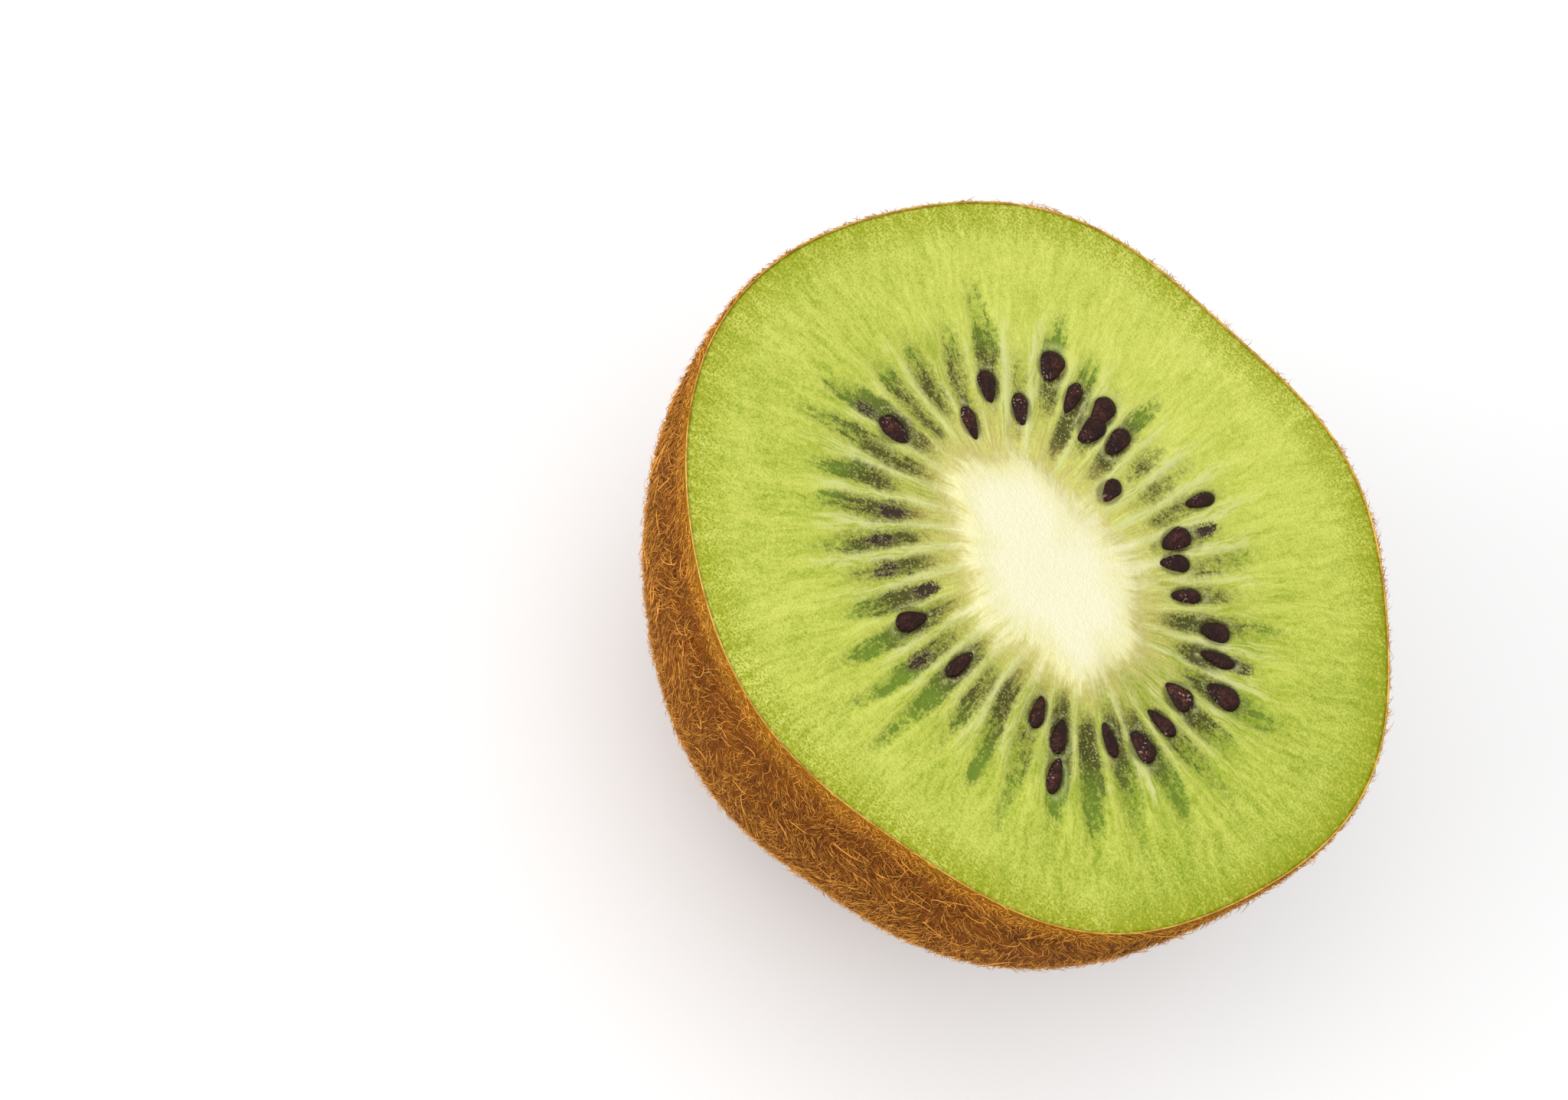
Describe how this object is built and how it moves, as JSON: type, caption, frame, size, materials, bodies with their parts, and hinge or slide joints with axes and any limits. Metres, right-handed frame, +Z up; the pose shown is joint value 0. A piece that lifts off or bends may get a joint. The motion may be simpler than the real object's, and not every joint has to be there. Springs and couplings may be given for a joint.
{
  "type": "kiwi fruit half",
  "caption": "Half a kiwi fruit cut across its middle, cut face up: green flesh round a pale core with dark seeds, in brown hairy skin, standing on its rounded end.",
  "frame": {"origin": "on the ground, under the middle of the fruit's box", "axes": "+Z up, out of the cut face; +X along the long axis of the oval cut face; -Y the side that the picture shows below the cut face"},
  "size_m": [0.0552, 0.0498, 0.0334],
  "materials": {
    "fruit": "moist green cut flesh on top, matt brown hairy skin below",
    "flesh": "moist, slightly translucent, with fine pale rays and a creamy core",
    "skin": "matt and rough under the hairs",
    "hair": "short stiff golden brown hairs",
    "seed": "dark and glossy",
    "scar": "dry and dull"
  },
  "bodies": {
    "root": {"kiwi_half": "fruit"}
  },
  "joints": []
}
